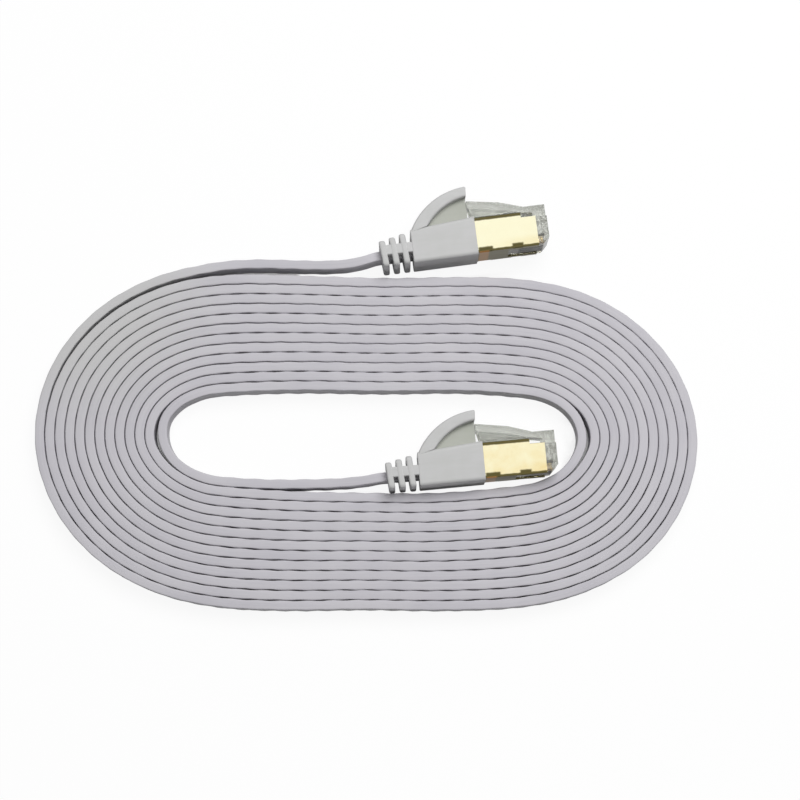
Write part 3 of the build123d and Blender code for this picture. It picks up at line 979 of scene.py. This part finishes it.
@dataclass
class Plug:
    """One plug with its boot: the boot is built here, the rest are the solids, dressed."""

    end: End
    height: float = 13.2
    body_ends: Span = (7.8, 23.9)
    # The body's lower and upper sides at those ends
    body_low: Span = (-3.45, -3.35)
    body_high: Span = (5.0, 6.35)
    body_corner: float = 1.0
    pocket_rear: float = 19.7
    pocket_edge: float = 0.38
    edge: float = 0.32
    fin_count: int = 3
    fin_edge: float = 0.5
    fin_thickness: float = 1.55
    fin_gap: float = 1.05
    fin_low: float = -3.45
    fin_high: float = 3.0
    fin_rise: float = 0.55
    fin_corner: float = 1.1
    fin_lean: float = 4.5
    spine_sides: Span = (-0.6, 1.9)
    spine_front: float = 8.4
    # Three places along and up that each side of the tongue's curved slab goes through
    tongue_outer: tuple[tuple[float, float], ...] = ((7.8, 4.2), (14.0, 11.3), (22.8, 14.1))
    tongue_inner: tuple[tuple[float, float], ...] = ((12.3, 5.4), (16.9, 9.6), (22.6, 11.5))
    tongue_corner: float = 0.7
    web_width: float = 8.4
    web_front: float = 22.4
    # The tongue and the spine end this far inside the boot's sides, so no faces coincide
    plain_inset: float = 0.03
    spine_inset: float = 0.12
    edge_places: int = 6
    arc_places: int = 40

    def rounding(self, edge: float) -> tuple[np.ndarray, np.ndarray]:
        """A rounded end edge of this size: how far in each ring lies and how much it shrinks."""
        sweep = np.linspace(0, math.pi / 2, self.edge_places)
        return edge * (1 - np.cos(sweep)), edge * (1 - np.sin(sweep))

    def sleeve(
        self, along: np.ndarray, low: Any, high: Any, width: float, corner: float, inset: Any = 0.0
    ) -> np.ndarray:
        """Rings that are rounded rectangles square to the plug's length, centred across it.

        Args:
            along: each ring's place along the plug.
            low: the lower side of each ring, or of all.
            high: the upper side of each ring, or of all.
            width: how wide the rings are, across the plug.
            corner: radius of the corners.
            inset: how much each ring shrinks, or all of them do.

        Returns:
            Rings of points in the plug's coordinates.
        """
        low, high, inset = (
            np.broadcast_to(value, along.shape)[:, None] for value in (low, high, inset)
        )
        centres, directions = rounded_outline(self.edge_places, 0)
        rings = np.empty((len(along), len(directions), 3))
        rings[..., 0] = along[:, None]
        rings[..., 1] = (high + low) / 2 + centres[:, 0] * ((high - low) / 2 - corner)
        rings[..., 2] = self.height / 2 + centres[:, 1] * (width / 2 - corner)
        rings[..., 1:] += directions * (corner - inset)[..., None]
        return rings

    def block(
        self, ends: Span, sides: Span, width: float, corner: float, edge: float
    ) -> np.ndarray:
        """The rings of a block whose corners and end edges are rounded.

        Args:
            ends: its rear and its front.
            sides: its lower and its upper side.
            width: how wide it is, across the plug.
            corner: radius of the corners along the plug.
            edge: radius of the edges at the two ends.

        Returns:
            Rings of points in the plug's coordinates.
        """
        depth, inset = self.rounding(edge)
        along = np.concatenate([ends[0] + depth, ends[1] - depth[::-1]])
        return self.sleeve(along, *sides, width, corner, np.concatenate([inset, inset[::-1]]))

    def fin(self, index: int) -> np.ndarray:
        """A strain-relief fin, a block with each point moved back by its rise times a slope.

        Args:
            index: how many fins lie behind it.

        Returns:
            Rings of points in the plug's coordinates.
        """
        pitch = self.fin_thickness + self.fin_gap
        ends = (index * pitch, index * pitch + self.fin_thickness)
        top = self.fin_high + self.fin_rise * (index * pitch + self.fin_thickness / 2) / pitch
        rings = self.block(
            ends, (self.fin_low, top), self.height, self.fin_corner, self.fin_edge
        )
        rings[..., 0] -= rings[..., 1] * math.tan(math.radians(self.fin_lean))
        return rings

    def body(self) -> np.ndarray:
        """The boot's body, a tapering sleeve with a rounded lip round its pocket.

        The rings run from the closed rear end along the outside to the front, over the lip
        in a half circle, and back inside the pocket to its floor. The height tapers in a
        straight line along the length, and the corners keep their radius.

        Returns:
            Rings of points in the plug's coordinates.
        """
        depth, rear_inset = self.rounding(self.edge)
        lip = self.pocket_edge / 2
        turn = np.linspace(0, math.pi, 2 * self.edge_places)
        front = self.body_ends[1] - lip + lip * np.sin(turn)
        along = np.concatenate([self.body_ends[0] + depth, front, [self.pocket_rear]])
        inset = np.concatenate([rear_inset, lip * (1 - np.cos(turn)), [self.pocket_edge]])
        low = np.interp(along, self.body_ends, self.body_low)
        high = np.interp(along, self.body_ends, self.body_high)
        low[-1], high[-1] = self.body_low[1], self.body_high[1]
        return self.sleeve(along, low, high, self.height, self.body_corner, inset)

    @staticmethod
    def arc_through(three: tuple[tuple[float, float], ...], share: np.ndarray) -> np.ndarray:
        """The circle's arc through three points.

        The centre is where the middle lines of the two chords cross, and the points lie at
        even angles from the first point to the last.

        Args:
            three: the first, a middle and the last point.
            share: places along the arc from 0 to 1.

        Returns:
            Points, one row for each place.
        """
        a, b, c = (np.array(p) for p in three)
        rows = 2 * np.stack([b - a, c - b])
        centre = np.linalg.solve(rows, np.array([b @ b - a @ a, c @ c - b @ b]))
        first = math.atan2(*(a - centre)[::-1])
        last = math.atan2(*(c - centre)[::-1])
        angles = first + (last - first) * share
        radius = np.linalg.norm(a - centre)
        return centre + radius * np.stack([np.cos(angles), np.sin(angles)], axis=-1)

    def tongue(self) -> np.ndarray:
        """The tongue over the latch, a curved slab as wide as the boot.

        At each place the slab reaches from the inner arc to the outer arc. Its section is a
        rounded rectangle in the plane through those two points, and it shrinks by a quarter
        circle at the tip.

        Returns:
            Rings of points in the plug's coordinates.
        """
        depth, tip_inset = self.rounding(self.edge)
        reach = self.tongue_outer[2][0] - self.tongue_outer[0][0]
        tip = 1 - depth[::-1] / reach
        share = np.concatenate([np.linspace(0, tip[0], self.arc_places)[:-1], tip])
        inset = np.zeros(len(share))
        inset[-len(tip):] = tip_inset[::-1]
        outer = self.arc_through(self.tongue_outer, share)
        inner = self.arc_through(self.tongue_inner, share)
        middle = (outer + inner) / 2
        thick = np.linalg.norm(outer - inner, axis=1)
        away = (outer - inner) / thick[:, None]
        centres, directions = rounded_outline(self.edge_places, 0)
        half_thick = (thick / 2 - self.tongue_corner)[:, None] * centres[:, 0]
        half_thick = half_thick + (self.tongue_corner - inset)[:, None] * directions[:, 0]
        rings = np.empty((len(share), len(directions), 3))
        rings[..., :2] = middle[:, None] + away[:, None] * half_thick[..., None]
        rings[..., 2] = (
            self.height / 2
            + (self.height / 2 - self.plain_inset - self.tongue_corner) * centres[:, 1]
            + (self.tongue_corner - inset)[:, None] * directions[:, 1]
        )
        return rings

    def web(self) -> np.ndarray:
        """The recessed web between the tongue and the body.

        Along the plug, each ring reaches from inside the body up into the tongue, under the
        middle of its slab, as a rounded rectangle.

        Returns:
            Rings of points in the plug's coordinates.
        """
        share = np.linspace(0.0, 1.0, self.arc_places)
        inner = self.arc_through(self.tongue_inner, share)
        along = np.linspace(self.tongue_inner[0][0], self.web_front, self.arc_places // 2)
        top = np.interp(along, inner[:, 0], inner[:, 1]) + self.tongue_corner
        bottom = self.tongue_inner[0][1] - self.tongue_corner
        return self.sleeve(along, bottom, top, self.web_width, self.edge)

    def build_boot(self, finish: BootFinish, shaded_web_finish: BootFinish) -> bpy.types.Object:
        """Builds the boot in place of its solid.

        Args:
            finish: the moulding's finish.
            shaded_web_finish: the finish of the thin web under the tongue, whose darker greenish
                grey is painted shade of its recess and a painted reflection of the gold.

        Returns:
            The boot's object.
        """
        shell = Shell()
        # The web takes the second finish, whose colour is painted shade of its recess and a
        # painted reflection of the gold
        shell.add_rings(PLACES[self.end].to_part(self.web()), 1)
        spine = self.block(
            (self.edge, self.spine_front), self.spine_sides,
            self.height - 2 * self.spine_inset, self.edge, self.edge,
        )
        pieces = [self.body(), self.tongue(), spine]
        pieces += [self.fin(index) for index in range(self.fin_count)]
        for rings in pieces:
            shell.add_rings(PLACES[self.end].to_part(rings))
        name = self.end.value + "_boot"
        piece = shell.make(name + "_moulding", finish.make(self.end), shaded_web_finish.make(self.end))
        piece.modifiers.new("even_normals", "WEIGHTED_NORMAL").keep_sharp = True
        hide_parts(name)
        LOG.info("%s: %d faces", piece.name, len(piece.data.polygons))
        return piece

    def dress(self) -> None:
        """Gives each solid of the plug that is kept its finish."""
        materials = {name: finish.make(self.end) for name, finish in SOLIDS.items()}
        materials["cable_end"] = bpy.data.materials["cable_jacket"]
        blade = BladeFinish("contact_plate").make(self.end)
        for index, (name, colours) in enumerate(CONDUCTORS.items()):
            conductor = ConductorFinish("insulation_" + name, *colours)
            materials["wire_" + name] = conductor.make(self.end)
            materials["contact_" + str(index + 1)] = blade
        for name, material in materials.items():
            node = frame["nodes"][self.end.value + "_" + name]
            node.data.materials.clear()
            node.data.materials.append(material)
        LOG.info("%s plug: %d solids dressed", self.end.value, len(materials))


@dataclass
class Studio:
    """The floor, the light and the camera.

    The floor's and the softbox's sizes are in metres, and the rest are in millimetres.
    """

    floor_size: float = 4.0
    floor_depth: float = 0.0002
    floor_colour: RGBA = (0.95, 0.95, 0.95, 1.0)
    # The floor's colour in the light that it throws back on the part
    bounce: RGBA = (0.36, 0.36, 0.36, 1.0)
    floor_white: float = 0.92
    floor_gloss: float = 0.4
    ambient: float = 0.16
    # Painted shade on the floor in the narrow gaps between the turns: how far the floor looks
    # round for walls, how open it is where the shade starts and ends, and what is left of the
    # floor's light in them
    gap_reach: float = 9.0
    gap_dark: Span = (0.12, 0.28)
    gap_light: float = 0.07
    gap_samples: int = 8
    # Where the floor beside each plug and its tail isn't a gap, in the plug's coordinates
    plug_along: Span = (-7.0, 44.0)
    plug_across: Span = (-6.4, 14.0)
    plug_soft: float = 0.8
    tail_along: Span = (-21.0, -5.0)
    tail_across: Span = (-7.7, 6.0)
    tail_slope: float = 0.22
    softbox_place: Point = (0.16, 0.28, 0.75)
    softbox_side: float = 0.5
    softbox_watts: float = 6.5
    focal_length: float = 103.86
    sensor: float = 36.0
    camera_place: Point = (8.38, -76.74, 571.4)
    camera_tilt: float = 7.7

    def build_world(self) -> None:
        """The world: white to the camera and in reflections, dim as a light."""
        world = bpy.data.worlds.new("studio")
        world.use_nodes = True
        bpy.context.scene.world = world
        board = Board(world.node_tree)
        seen = self.is_seen(board)
        sky = {"Strength": self.ambient + (1 - self.ambient) * seen, "Color": (1.0,) * 4}
        background = board.node("ShaderNodeBackground", None, sky)
        board.node("ShaderNodeOutputWorld", None, {"Surface": background.outputs[0]})

    @staticmethod
    def is_seen(board: Board, glossy_share: float = 1.0) -> Value:
        """1 for rays from the camera or a clear piece, and a share of 1 from a reflection.

        Args:
            board: the board of the world or the floor.
            glossy_share: the share for rays that come from a reflection.

        Returns:
            The number.
        """
        path = board.node("ShaderNodeLightPath")
        camera, glossy, clear = (
            Value(board, path.outputs[name])
            for name in ("Is Camera Ray", "Is Glossy Ray", "Is Transmission Ray")
        )
        return board.larger(board.larger(camera, glossy * glossy_share), clear)

    def build_floor(self) -> bpy.types.Object:
        """The floor: white where it is looked at, and darkened with painted shade in the coil's
        narrow gaps.

        The painted shade is kept off the floor beside the plugs and the tails, because it isn't a
        gap.

        Returns:
            The floor's object.
        """
        half = self.floor_size / 2
        corners = [(-half, -half), (half, -half), (half, half), (-half, half)]
        mesh = bpy.data.meshes.new("studio_floor")
        mesh.from_pydata([(x, y, -self.floor_depth) for x, y in corners], [], [(0, 1, 2, 3)])
        material, board = new_board("studio_floor")
        seen = self.is_seen(board, self.floor_gloss)
        open_sky = board.node(
            "ShaderNodeAmbientOcclusion",
            {"samples": self.gap_samples},
            {"Distance": self.gap_reach * MM},
        )
        clear_of_gap_shade = board.step(Value(board, open_sky.outputs["AO"]), *self.gap_dark)
        for end in End:
            along, rise, _ = board.parts_of(PLACES[end].coordinates(board))
            beside = board.band(along, *self.plug_along, self.plug_soft)
            beside = beside * board.band(rise, *self.plug_across, self.plug_soft)
            by_tail = board.band(along, *self.tail_along, self.plug_soft)
            by_tail = by_tail * board.band(
                rise + self.tail_slope * along, *self.tail_across, self.plug_soft / 2
            )
            clear_of_gap_shade = board.larger(clear_of_gap_shade, board.larger(beside, by_tail))
        colour = board.blend(seen, self.bounce, self.floor_colour)
        matt = board.node("ShaderNodeBsdfDiffuse", None, {"Color": colour})
        lit = board.node("ShaderNodeEmission", None, {"Strength": 1.0})
        # The floor's glow is dimmed in the gaps as painted shade
        lit_share = seen * board.larger(clear_of_gap_shade, self.gap_light) * self.floor_white
        sockets = {0: lit_share, 1: matt.outputs[0], 2: lit.outputs[0]}
        board.finish_with(board.node("ShaderNodeMixShader", None, sockets).outputs[0])
        mesh.materials.append(material)
        floor = new_object("studio_floor", mesh)
        return floor

    def add_softbox(self) -> None:
        """The square light overhead, turned to face the part."""
        light = bpy.data.lights.new("overhead_softbox", "AREA")
        light.shape = "SQUARE"
        light.size = self.softbox_side
        light.energy = self.softbox_watts
        lamp = new_object("overhead_softbox", light)
        x, y, z = self.softbox_place
        lamp.location = self.softbox_place
        lamp.visible_glossy = False
        lamp.rotation_euler = (
            math.atan2(math.hypot(x, y), z), 0.0, math.atan2(y, x) + math.pi / 2
        )

    def build_camera(self) -> None:
        """The camera, straight above the part's front with a slight tilt."""
        data = bpy.data.cameras.new("camera")
        data.sensor_width = self.sensor
        data.lens = self.focal_length
        camera = new_object("camera", data)
        camera.location = [value * MM for value in self.camera_place]
        camera.rotation_euler = (math.radians(self.camera_tilt), 0.0, 0.0)
        bpy.context.scene.camera = camera

    def build(self) -> None:
        """Builds the whole stage."""
        bpy.context.scene.view_settings.view_transform = "Standard"
        self.build_world()
        self.build_floor()
        self.add_softbox()
        self.build_camera()
        LOG.info("studio: camera, floor and light")


def main() -> None:
    """Builds the part and the studio, and reports the boots, the plugs' solids and the studio."""
    Studio().build()
    FlatCable().build(JacketFinish())
    for end in End:
        plug = Plug(end)
        plug.build_boot(BOOT, BOOT_WEB_PAINTED_SHADE)
        plug.dress()


if __name__ == "__main__":
    logging.basicConfig(level=logging.INFO, format="%(name)s: %(message)s")
    main()
